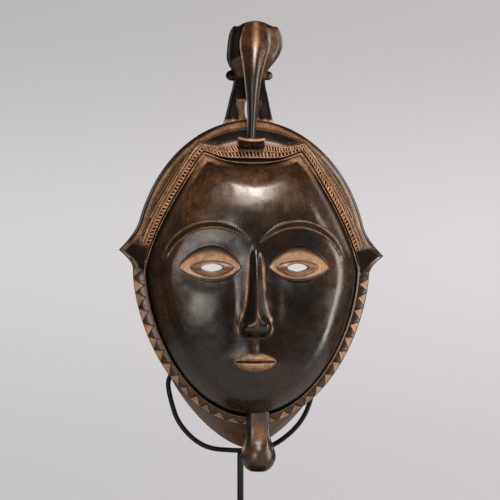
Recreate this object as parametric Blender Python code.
# A carved wooden face mask with a bird crest, held up on a bent steel stand.
# Metres, +Z up, the mask faces -Y. The origin is the centre of the base plate's underside.
# The mask is worked out in its own millimetre frame and then placed:
#   x to the viewer's right, z up from the mask's local centre, f forward from the plane of its back edge.

import math

import bmesh
import bpy
import numpy as np

for old in list(bpy.data.objects):
    bpy.data.objects.remove(old, do_unlink=True)

MM = 0.001

# ---- where the mask hangs on its stand ---------------------------------------------------
MASK_X = 5.4            # the mask sits a little right of the post
MASK_BACK_Y = 26.0      # plane of the mask's back edge
MASK_Z = 246.0          # height of the mask's local centre above the table

# ---- carved outline, seen from the front ---------------------------------------------------
HALF_WIDTH = 95.0       # carved border, without the side points
CROWN_RISE = 120.8      # coiffure above the local centre
CHIN_DROP = 124.0       # border below the local centre
POINT_REACH = 12.0      # how far a side point stands out
POINT_HEIGHT = {-1: 14.4, 1: 9.8}
FIELD_HALF = 84.5       # inner edge of the border
FIELD_TEMPLE = 121.9    # where the coiffure's side edges would meet
FIELD_CHIN = 116.5
HAIRLINE = 84.0         # middle of the hairline, which sags between two corners
HAIRLINE_SAG = 6.5
HAIRLINE_CORNER = 38.0

# ---- back edge and wall --------------------------------------------------------------------
BACK_HALF = 86.0
BACK_CROWN = 114.0
BACK_CHIN = 147.0
WALL = 7.5              # wood left at the back edge
WALL_TOP = 40.0         # depth at which the wall meets the border's underside
BORDER_THICK = 6.0
HOLLOW_DEPTH = 72.0

# ---- face canon: three equal parts from hairline to chin, five eye widths across --------------
FACE_TOP, FACE_CHIN = HAIRLINE, -FIELD_CHIN
THIRD = (FACE_TOP - FACE_CHIN) / 3
BROW_Z = FACE_TOP - THIRD
NOSE_Z = FACE_TOP - 2 * THIRD
MOUTH_Z = NOSE_Z - THIRD / 3
EYE_WIDTH = 2 * FIELD_HALF / 5
EYE_X = EYE_WIDTH
EYE_Z = (CROWN_RISE + FACE_CHIN) / 2
SLIT_HALF, SLIT_RISE = 8.6, 3.2
BROW_RADIUS, MOUTH_HALF = 39.0, 16.0


def smooth(t, a, b):
    t = np.clip((t - a) / (b - a), 0, 1)
    return t * t * (3 - 2 * t)


def bell(x, z, x0, z0, wx, wz):
    return np.exp(-(((x - x0) / wx) ** 2 + ((z - z0) / wz) ** 2))


def oval(phi, half, up, down, pu, qu, pd, qd):
    """Polar radius of an egg: |x/half|^p + |z/rise|^q = 1, one pair of powers above and one below."""
    s, c = np.abs(np.sin(phi)), np.cos(phi)
    rise, p, q = (np.where(c >= 0, u, d) for u, d in ((up, down), (pu, pd), (qu, qd)))
    low, high = np.zeros_like(phi), np.full_like(phi, 300.0)
    for _ in range(46):
        r = (low + high) / 2
        inside = (r * s / half) ** p + (r * np.abs(c) / rise) ** q < 1
        low, high = np.where(inside, r, low), np.where(inside, high, r)
    return (low + high) / 2


def outline(phi, points=True):
    """Outer edge of the coiffure and the border, with the point at each side."""
    r = oval(phi, HALF_WIDTH, CROWN_RISE, CHIN_DROP, 2, 2, 2, 1.7)
    if points:
        x, z = r * np.sin(phi), r * np.cos(phi)
        tip = np.where(x < 0, POINT_HEIGHT[-1], POINT_HEIGHT[1])
        away = z - tip
        t = np.clip(1 - np.where(away > 0, away / 26.0, -away / 13.0), 0, 1)
        r = r + POINT_REACH * np.where(np.cos(phi) > -0.3, t, 0) ** 1.9
    return r


def field(phi):
    """Edge between the face and what frames it: two long temple curves, a sagging hairline, an egg below."""
    sides = oval(phi, FIELD_HALF, FIELD_TEMPLE, FIELD_CHIN, 1.35, 1.35, 2, 1.7)
    s, c = np.sin(phi), np.cos(phi)
    bend = np.maximum(HAIRLINE_SAG * s * s / HAIRLINE_CORNER**2, 1e-9)
    under = c * c - 4 * bend * HAIRLINE
    line = (c - np.sqrt(np.maximum(under, 0))) / (2 * bend)
    return np.where((c > 0) & (under > 0) & (line > 0), np.minimum(sides, line), sides)


def back_edge(phi):
    return oval(phi, BACK_HALF, BACK_CROWN, BACK_CHIN, 2, 2, 1.5, 1.95)


def wall_top(phi):
    """The wall where it meets the border, set in from the outline."""
    inset = 7.0 - 3.5 * smooth(np.cos(phi), 0.2, 0.9)
    return outline(phi, points=False) - inset


def wall(phi, f):
    return back_edge(phi) + (wall_top(phi) - back_edge(phi)) * np.minimum(f / WALL_TOP, 1)


def field_depth(phi):
    return 50.0 + 7.0 * smooth(np.cos(phi), 0.3, 0.95)


def edge_depth(phi):
    c = np.cos(phi)
    return 47.0 - 5.0 * smooth(c, -0.1, 0.35) - 6.0 * smooth(c, 0.6, 1.0)


def face_depth(phi, r):
    """Depth of the face inside the field: one broad swelling, rolled off at its edge, then the features."""
    x, z = r * np.sin(phi), r * np.cos(phi)
    ax = np.abs(x)
    hull = 50.0 + 34.0 * np.sqrt(np.maximum(0.02, 1 - (x / 102.0) ** 2 - ((z + 4) / 132.0) ** 2))
    hull = hull + 4.0 * bell(x, z, 0, 50, 48, 26) + 1.5 * bell(x, z, 0, -98, 22, 12)
    hull = hull - 4.5 * bell(ax, z, EYE_X, EYE_Z + 1, 23, 14)
    hull = hull - 2.0 * bell(ax, z, 15.5, -26, 7, 26)
    hull = hull + 1.5 * bell(ax, z, 46, -34, 20, 24)
    hull = hull + 2.2 * bell(x, z, 0, MOUTH_Z, 17, 9) + 2.0 * bell(x, z, 0, (BROW_Z + NOSE_Z) / 2 - 8, 11, 30)
    gap = np.clip((field(phi) - r) / 13.0, 0, 1)
    roll = np.sqrt(1 - (1 - gap) ** 2)
    base = field_depth(phi) - 2.0
    return base + (hull - base) * roll


def on_face(x, z):
    return face_depth(np.arctan2(x, z), np.hypot(x, z))


def frame_depth(phi, t):
    """Depth across the coiffure or the border, from its inner edge (t = 0) to its outer edge (t = 1)."""
    inner, outer = field_depth(phi), edge_depth(phi)
    hair = smooth(np.cos(phi), 0.05, 0.35)
    swell = hair * 3.2 * np.sin(np.pi * np.clip(t, 0, 1)) + (1 - hair) * 0.8 * np.sin(np.pi * np.clip(t, 0, 1))
    return inner + (outer - inner) * t ** (1 + 0.7 * hair) + swell


# ---- meshes ------------------------------------------------------------------------------------
COLUMN_AT = [0, 5 / 80, 19 / 80, 0.5, 62 / 80, 75 / 80, 1]   # one column each on the hairline's corners and on the side points
COLUMN_TURN = [0, 22.5, 84.6, 180, 277.7, 337.5, 360]


def ring(n, radius, depth):
    """One closed ring of n points; radius and depth take the angle from the top, clockwise."""
    phi = np.radians(np.interp(np.arange(n) / n, COLUMN_AT, COLUMN_TURN))
    r = radius(phi)
    return np.stack([r * np.sin(phi), depth(phi, r), r * np.cos(phi)], 1)


def shell(rings, first, last):
    """A closed skin from a first point, through rings whose counts are equal or differ by two, to a last point."""
    points, faces, start = [np.array([first])], [], 1
    starts = []
    for one in rings:
        points.append(one)
        starts.append(start)
        start += len(one)
    points.append(np.array([last]))
    n = len(rings[0])
    faces += [(0, starts[0] + (j + 1) % n, starts[0] + j) for j in range(n)]
    for (a, ra), (b, rb) in zip(zip(starts, rings), zip(starts[1:], rings[1:])):
        na, nb = len(ra), len(rb)
        if na == nb:
            for j in range(na):
                k = (j + 1) % na
                if j < na // 2:  # the diagonals mirror each other left and right
                    faces += [(a + j, a + k, b + k), (a + j, b + k, b + j)]
                else:
                    faces += [(a + j, a + k, b + j), (a + k, b + k, b + j)]
        elif nb == 2 * na:
            for j in range(na):
                k = (j + 1) % na
                faces += [(a + j, b + 2 * j + 1, b + 2 * j), (a + j, a + k, b + 2 * j + 1), (a + k, b + (2 * j + 2) % nb, b + 2 * j + 1)]
        else:
            for j in range(nb):
                k = (j + 1) % nb
                faces += [(a + 2 * j, a + 2 * j + 1, b + j), (a + 2 * j + 1, b + k, b + j), (a + 2 * j + 1, a + (2 * j + 2) % na, b + k)]
    n, a = len(rings[-1]), starts[-1]
    faces += [(a + j, a + (j + 1) % n, start) for j in range(n)]
    return np.concatenate(points), [tuple(reversed(f)) for f in faces]


def put(name, points, faces, material=None, helper=False):
    """A mesh object from points in the mask's frame."""
    placed = [((x + MASK_X) * MM, (MASK_BACK_Y - f) * MM, (z + MASK_Z) * MM) for x, f, z in points]
    mesh = bpy.data.meshes.new(name)
    mesh.from_pydata(placed, [], faces)
    b = bmesh.new()
    b.from_mesh(mesh)
    bmesh.ops.recalc_face_normals(b, faces=b.faces)
    b.to_mesh(mesh)
    b.free()
    obj = bpy.data.objects.new(name, mesh)
    bpy.context.scene.collection.objects.link(obj)
    if material:
        mesh.materials.append(material)
    if helper:
        obj.hide_render = True
        obj.display_type = "WIRE"
    return obj


def loft(sections):
    """Closed tube through sections of equal count, with a fan at each end."""
    n = len(sections[0])
    points = [np.mean(sections[0], 0)]
    for s in sections:
        points += list(s)
    points.append(np.mean(sections[-1], 0))
    faces = [(0, 1 + (j + 1) % n, 1 + j) for j in range(n)]
    for i in range(len(sections) - 1):
        a, b = 1 + i * n, 1 + (i + 1) * n
        faces += [(a + j, a + (j + 1) % n, b + (j + 1) % n, b + j) for j in range(n)]
    a = 1 + (len(sections) - 1) * n
    faces += [(a + j, a + (j + 1) % n, len(points) - 1) for j in range(n)]
    return np.array(points), faces


def level(n, cx, cf, cz, hx, hf, power=2.0):
    """A flat section at one height: a rounded box of half sizes hx and hf."""
    a = 2 * math.pi * (np.arange(n) + 0.5) / n
    c, s = np.cos(a), np.sin(a)
    k = (np.abs(c) ** power + np.abs(s) ** power) ** (-1 / power)
    return np.stack([cx + hx * k * c, cf + hf * k * s, np.full(n, float(cz))], 1)


def ball(cx, cf, cz, rx, rf, rz, n=12, rows=7):
    sections = []
    for i in range(1, rows):
        a = math.pi * i / rows
        sections.append(level(n, cx, cf, cz - rz * math.cos(a), rx * math.sin(a), rf * math.sin(a)))
    points, faces = loft(sections)
    points[0][2], points[-1][2] = cz - rz, cz + rz
    return points, faces


def join(target, other, how):
    step = target.modifiers.new(how.lower() + "_" + other.name, "BOOLEAN")
    step.operation = how
    step.solver = "EXACT"
    step.object = other


def material(name, colour, rough, metal=0.0):
    m = bpy.data.materials.new(name)
    m.use_nodes = True
    shader = m.node_tree.nodes["Principled BSDF"]
    shader.inputs["Base Color"].default_value = (*colour, 1)
    shader.inputs["Roughness"].default_value = rough
    shader.inputs["Metallic"].default_value = metal
    return m


wood = material("dark_patinated_wood", (0.045, 0.027, 0.018), 0.38)
steel = material("black_painted_steel", (0.012, 0.012, 0.012), 0.45, 0.3)

# ---- the mask's shell -------------------------------------------------------------------------
COLUMNS = 80
rings = []
for share, count in [(0.035, 20), (0.075, 20), (0.12, 40), (0.165, 40), (0.21, 40)]:
    rings.append(ring(count, lambda p, s=share: field(p) * s, face_depth))
for share in (0.26, 0.31, 0.36, 0.41, 0.46, 0.52, 0.58, 0.64, 0.70, 0.76, 0.82, 0.88, 0.93, 0.97, 1.0):
    rings.append(ring(COLUMNS, lambda p, s=share: field(p) * s, face_depth))
for share in (0.02, 0.25, 0.5, 0.8, 1.0):
    rings.append(
        ring(
            COLUMNS,
            lambda p, s=share: field(p) + (outline(p) - field(p)) * s,
            lambda p, r, s=share: frame_depth(p, np.full_like(p, s)),
        )
    )
rings.append(ring(COLUMNS, lambda p: outline(p) - 0.3, lambda p, r: edge_depth(p) - BORDER_THICK + 0.8))
rings.append(ring(COLUMNS, lambda p: wall_top(p), lambda p, r: np.minimum(edge_depth(p) - BORDER_THICK - 1.2, WALL_TOP)))
for depth in (20.0, 1.2):
    rings.append(ring(COLUMNS, lambda p, d=depth: wall(p, d), lambda p, r, d=depth: np.full_like(p, d)))
rings.append(ring(COLUMNS, lambda p: back_edge(p) - 1.2, lambda p, r: np.zeros_like(p)))


def hollow(phi, f):
    """Radius of the hollow at a depth: the wall's own line less its thickness, closing as a dome."""
    return (wall(phi, f) - WALL) * np.sqrt(np.maximum(0, 1 - (f / HOLLOW_DEPTH) ** 2.6))


rings.append(ring(COLUMNS, lambda p: back_edge(p) - WALL + 1.0, lambda p, r: np.zeros_like(p)))
for depth, count in [(1.0, 80), (14.0, 40), (27.0, 40), (38.0, 40), (48.0, 40), (57.0, 40), (64.0, 40), (69.0, 20), (71.5, 20)]:
    rings.append(ring(count, lambda p, d=depth: hollow(p, d), lambda p, r, d=depth: np.full_like(p, d)))
top = face_depth(np.zeros(1), np.zeros(1))[0]
mask = put("mask", *shell(rings, (0, top, 0), (0, HOLLOW_DEPTH, 0)), wood)

# ---- brows, nose, eyes and lips, laid on the face -----------------------------------------------------------
def half_round(across, out, sink, n=8):
    """A small section: sideways and outward offsets, rounded outside and sunk below the surface."""
    a = 2 * math.pi * (np.arange(n) + 0.5) / n
    return np.cos(a) * across, np.where(np.sin(a) > 0, out, sink) * np.sin(a)


for side in (-1, 1):
    sections = []
    for turn in np.radians(np.linspace(24, 131, 15)):
        taper = math.sin(math.pi * (math.degrees(turn) - 14) / 127) ** 0.4
        across, out = half_round(3.1 * taper, 1.9 * taper, 3.0)
        x = side * (EYE_X + (BROW_RADIUS + across) * math.cos(turn))
        z = EYE_Z - 5 + (BROW_RADIUS + across) * math.sin(turn)
        sections.append(np.stack([x, on_face(x, z) + out, z], 1))
    brow = put("brow_" + "lr"[side > 0], *loft(sections), helper=True)
    join(mask, brow, "UNION")
sections = []
for z, half, high in ((16, 4.0, 0.6), (8, 4.8, 4.0), (-4, 5.4, 6.8), (-16, 6.2, 9.8), (-27, 7.4, 12.8), (-35, 9.6, 15.0), (-40.5, 11.8, 16.2),
                      (-45, 12.8, 16.0), (-48, 12.2, 14.4), (-49.6, 10.4, 12.0)):
    a = 2 * math.pi * (np.arange(14) + 0.5) / 14
    c, s = np.cos(a), np.sin(a)
    round_off = float(smooth(-z, 30, 42))
    ridge = (1 - np.abs(c) ** 1.3) * (1 - round_off) + np.sqrt(np.maximum(0, 1 - np.abs(c) ** 2.2)) * round_off
    x = half * c
    base_line = on_face(x, np.full_like(x, float(z)))
    sections.append(np.stack([x, base_line + np.where(s > 0, high * ridge, 4.0 * s), np.full_like(x, float(z))], 1))
nose = put("nose", *loft(sections), helper=True)
join(mask, nose, "UNION")
for side in (-1, 1):
    sections = []
    for x in np.linspace(-16.5, 16.5, 13):
        t = 1 - (x / 17.0) ** 2
        across, out = half_round(7.6 * t**0.75, 3.4 * math.sqrt(t), 3.0)
        x_at = np.full_like(across, side * EYE_X + x)
        z = EYE_Z + 0.6 + across
        sections.append(np.stack([x_at, on_face(x_at, z) + out, z], 1))
    eye = put("eye_" + "lr"[side > 0], *loft(sections), helper=True)
    join(mask, eye, "UNION")
for tag, way, height in (("upper", 1, 6.2), ("lower", -1, 7.0)):
    sections = []
    for x in np.linspace(-MOUTH_HALF, MOUTH_HALF, 15):
        t = 1 - (x / (MOUTH_HALF + 0.4)) ** 2
        tall = height * t**0.7 * (1 - (0.16 * math.exp(-((x / 4) ** 2)) if way > 0 else 0))
        across, out = half_round(tall / 2, 4.4 * math.sqrt(t), 3.0)
        z = MOUTH_Z + way * (0.3 + tall / 2) + across
        sections.append(np.stack([np.full_like(z, x), on_face(np.full_like(z, x), z) + out, z], 1))
    lip = put("lip_" + tag, *loft(sections), helper=True)
    join(mask, lip, "UNION")

# ---- pierced eye slits ----------------------------------------------------------------------------
for side, tag in ((-1, "left"), (1, "right")):
    outlines = []
    for depth in (38.0, 112.0):
        lens = []
        for i in range(14):
            a = 2 * math.pi * i / 14
            c, s = math.cos(a), math.sin(a)
            lens.append((side * EYE_X + SLIT_HALF * c, depth, EYE_Z + SLIT_RISE * s * (1 - 0.25 * abs(c))))
        outlines.append(np.array(lens))
    cutter = put("slit_" + tag, *loft(outlines), helper=True)
    join(mask, cutter, "DIFFERENCE")

# ---- knob under the chin -----------------------------------------------------------------------
stem = [(-113, 9.0), (-118, 9.4), (-124, 9.3), (-130, 9.4), (-135, 10.2), (-139.5, 11.8), (-144, 13.4), (-148.6, 14.0),
        (-153, 13.3), (-157, 11.2), (-160, 7.8), (-161.6, 3.6)]
knob = put("chin_knob", *loft([level(16, 4.6 + 0.07 * i, 46.0, z, r, r * 0.97) for i, (z, r) in enumerate(stem)]), helper=True)
join(mask, knob, "UNION")

# ---- bird crest: split neck, body with hollowed wings, long bill bent down to a pedestal ----------
neck_rows = [(107, 22.5, 25, 11.5), (116, 21.0, 24, 11.5), (120.5, 19.8, 23.5, 11.5), (126, 18.2, 23, 11.4), (133, 16.6, 22, 11.2),
             (140, 15.2, 21, 11.0), (148, 13.2, 20.5, 11.0), (158, 12.0, 21, 12.0), (168, 12.0, 23, 13.0)]
neck = put("crest_neck", *loft([level(16, -1.2 + 0.03 * (z - 107), f, z, hx, hf, 3.0) for z, hx, f, hf in neck_rows]), helper=True)
gap = put("crest_gap", *loft([level(12, -0.4, f, z, hx, 30, 4.0) for z, hx, f in ((122, 2.6, 22), (126, 3.8, 22), (133, 4.0, 22), (138, 2.6, 22))]), helper=True)
join(neck, gap, "DIFFERENCE")
body_rows = [(156, 0.3, 8.5, 22, 11), (162, 0.5, 13.2, 24, 16), (168, 1.2, 18.0, 26, 19), (174, 2.9, 21.0, 28, 20.5), (181, 3.9, 22.0, 29, 20.5),
             (188, 4.2, 21.8, 30, 19.5), (193.5, 4.2, 20.0, 31, 17.5), (197.5, 3.9, 15.5, 32, 14.5), (200.3, 3.8, 9.0, 33, 10)]
body = put("crest_body", *loft([level(20, cx, f, z, hx, hf, 2.6) for z, cx, hx, f, hf in body_rows]), helper=True)
for side in (-1, 1):
    scoop = put("crest_scoop_" + "lr"[side > 0], *ball(3.4 + side * 16.6, 52.5, 180.0, 5.4, 9.5, 14.5), helper=True)
    join(body, scoop, "DIFFERENCE")
BILL_TURN = -0.08       # the bird looks a little to the viewer's left
bill_rows = [  # height of the centre, its depth, half width, half depth, slope of the section
    (186.0, 34.0, 10.5, 9.0, 62), (187.5, 42.0, 11.2, 9.0, 48), (184.5, 50.0, 11.2, 8.6, 32), (177.5, 56.2, 10.6, 8.0, 20),
    (168.0, 60.4, 9.4, 7.2, 11), (157.0, 63.0, 7.6, 6.4, 6), (146.0, 64.2, 6.2, 5.6, 2), (134.0, 64.4, 5.0, 4.9, -2),
    (122.0, 63.4, 4.2, 4.2, -6), (112.0, 61.8, 3.8, 3.8, -9), (103.5, 60.2, 3.7, 3.7, -10)]
bill_sections = []
for z, f, hx, hf, lean in bill_rows:
    flat = level(12, 0, 0, 0, hx, hf)
    c, s = math.cos(math.radians(lean)), math.sin(math.radians(lean))
    keel = np.where(flat[:, 1] > 0, 1.12, 0.95)
    d = flat[:, 1] * keel
    bill_sections.append(np.stack([flat[:, 0] + BILL_TURN * (f - 72), f + d * c, z + d * s], 1))
bill = put("crest_bill", *loft(bill_sections), helper=True)
foot_rows = [(95.5, 10.8, 54, 9.5), (98.5, 10.8, 55.5, 11.0), (102.5, 10.4, 56.0, 11.5), (105.5, 9.4, 56.0, 10.8)]
pedestal = put("crest_pedestal", *loft([level(16, -1.6, f, z, hx, hf, 3.5) for z, hx, f, hf in foot_rows]), helper=True)
join(mask, neck, "UNION")
join(mask, body, "UNION")
join(mask, bill, "UNION")
join(mask, pedestal, "UNION")
for tag, x, rx, rz in (("l", -13.6, 5.2, 4.4), ("r", 14.6, 4.4, 3.8)):
    tip = put("crest_tip_" + tag, *ball(x, 20.5, 157.8, rx, 4.2, rz, 10, 6), helper=True)
    join(mask, tip, "UNION")

# ---- stand: base plate, post, bent cradle rod ---------------------------------------------------
BASE_X, BASE_Y, BASE_Z = 140.0, 120.0, 10.0
POST_Y, POST_R, ROD_R = 24.0, 2.6, 2.0
CRADLE_FOOT = -148.8    # centre of the rod under the chin, in the mask's frame

b = bmesh.new()
bmesh.ops.create_cube(b, size=1.0)
bmesh.ops.scale(b, vec=(BASE_X * MM, BASE_Y * MM, BASE_Z * MM), verts=b.verts)
bmesh.ops.translate(b, vec=(0, 0, BASE_Z * MM / 2), verts=b.verts)
mesh = bpy.data.meshes.new("base_plate")
b.to_mesh(mesh)
b.free()
base = bpy.data.objects.new("base_plate", mesh)
bpy.context.scene.collection.objects.link(base)
mesh.materials.append(steel)
eased = base.modifiers.new("eased_edges", "BEVEL")
eased.width = 1.0 * MM
eased.segments = 2
eased.limit_method = "ANGLE"

post_top = MASK_Z + CRADLE_FOOT - ROD_R - 0.3
post_low = BASE_Z + 0.3
b = bmesh.new()
bmesh.ops.create_cone(b, cap_ends=True, segments=20, radius1=POST_R * MM, radius2=POST_R * MM, depth=(post_top - post_low) * MM)
bmesh.ops.translate(b, vec=(0, POST_Y * MM, (post_top + post_low) / 2 * MM), verts=b.verts)
mesh = bpy.data.meshes.new("post")
b.to_mesh(mesh)
b.free()
post = bpy.data.objects.new("post", mesh)
bpy.context.scene.collection.objects.link(post)
mesh.materials.append(steel)

# Half of the cradle from the post outwards: sideways reach, height and depth in the mask's frame.
LOWER = {-1: [(10, -148.3, 2.0), (21, -147.2, 2.0), (30.5, -144.2, 1.8), (39.4, -138.2, 1.4), (47.4, -129.6, 0.8), (52.3, -121.6, 0.0),
              (55.2, -113.4, -1.0), (57.4, -105.0, -2.6), (58.8, -98.0, -3.4)],
         1: [(10, -148.8, 2.0), (20.5, -147.2, 2.0), (30.5, -142.6, 1.8), (39.5, -136.2, 1.4), (47.0, -129.0, 0.8), (52.4, -121.6, 0.0),
             (56.3, -113.8, -1.0), (58.9, -106.0, -2.6), (60.0, -99.0, -3.4)]}
HOOK = {-1: [(59.0, -92.5, -3.8), (57.2, -87.4, -4.4), (53.4, -84.8, -4.5), (49.8, -84.2, -2.6), (48.6, -84.0, 3.0), (47.3, -84.0, 9.0), (45.9, -84.0, 14.0)],
        1: [(59.6, -92.6, -3.7), (59.9, -88.6, -3.5), (59.5, -85.8, -1.2), (58.9, -84.8, 3.5), (57.6, -84.6, 9.0), (56.3, -84.6, 14.0)]}
path = [(-x, z, f) for x, z, f in reversed(LOWER[-1] + HOOK[-1])] + [(0, CRADLE_FOOT, 2.0)] + LOWER[1] + HOOK[1]
path = np.array(path, float)


def through(points, step):
    """Even points along a smooth curve through the given ones (centripetal, so it doesn't overshoot)."""
    out = []
    ends = np.vstack([2 * points[0] - points[1], points, 2 * points[-1] - points[-2]])
    for i in range(1, len(ends) - 2):
        p0, p1, p2, p3 = ends[i - 1 : i + 3]
        t0 = 0.0
        t1, t2, t3 = np.cumsum([np.linalg.norm(b - a) ** 0.5 for a, b in ((p0, p1), (p1, p2), (p2, p3))])
        for t in np.linspace(t1, t2, 12, endpoint=False):
            a1 = (t1 - t) / (t1 - t0) * p0 + (t - t0) / (t1 - t0) * p1
            a2 = (t2 - t) / (t2 - t1) * p1 + (t - t1) / (t2 - t1) * p2
            a3 = (t3 - t) / (t3 - t2) * p2 + (t - t2) / (t3 - t2) * p3
            b1 = (t2 - t) / (t2 - t0) * a1 + (t - t0) / (t2 - t0) * a2
            b2 = (t3 - t) / (t3 - t1) * a2 + (t - t1) / (t3 - t1) * a3
            out.append((t2 - t) / (t2 - t1) * b1 + (t - t1) / (t2 - t1) * b2)
    out = np.array(out + [points[-1]])
    run = np.concatenate([[0], np.cumsum(np.linalg.norm(np.diff(out, axis=0), axis=1))])
    at = np.linspace(0, run[-1], max(2, round(run[-1] / step)))
    return np.stack([np.interp(at, run, out[:, k]) for k in range(3)], 1)


line = through(path, 5.5)
curve = bpy.data.curves.new("cradle_rod", "CURVE")
curve.dimensions = "3D"
curve.bevel_depth = ROD_R * MM
curve.bevel_resolution = 2
curve.use_fill_caps = True
spline = curve.splines.new("POLY")
spline.points.add(len(line) - 1)
for point, (x, z, f) in zip(spline.points, line):
    point.co = (x * MM, (MASK_BACK_Y - f) * MM, (z + MASK_Z) * MM, 1)
cradle = bpy.data.objects.new("cradle_rod", curve)
bpy.context.scene.collection.objects.link(cradle)
curve.materials.append(steel)

for obj in (mask, post):
    for face in obj.data.polygons:
        face.use_smooth = True
    obj.data.set_sharp_from_angle(angle=math.radians(50))
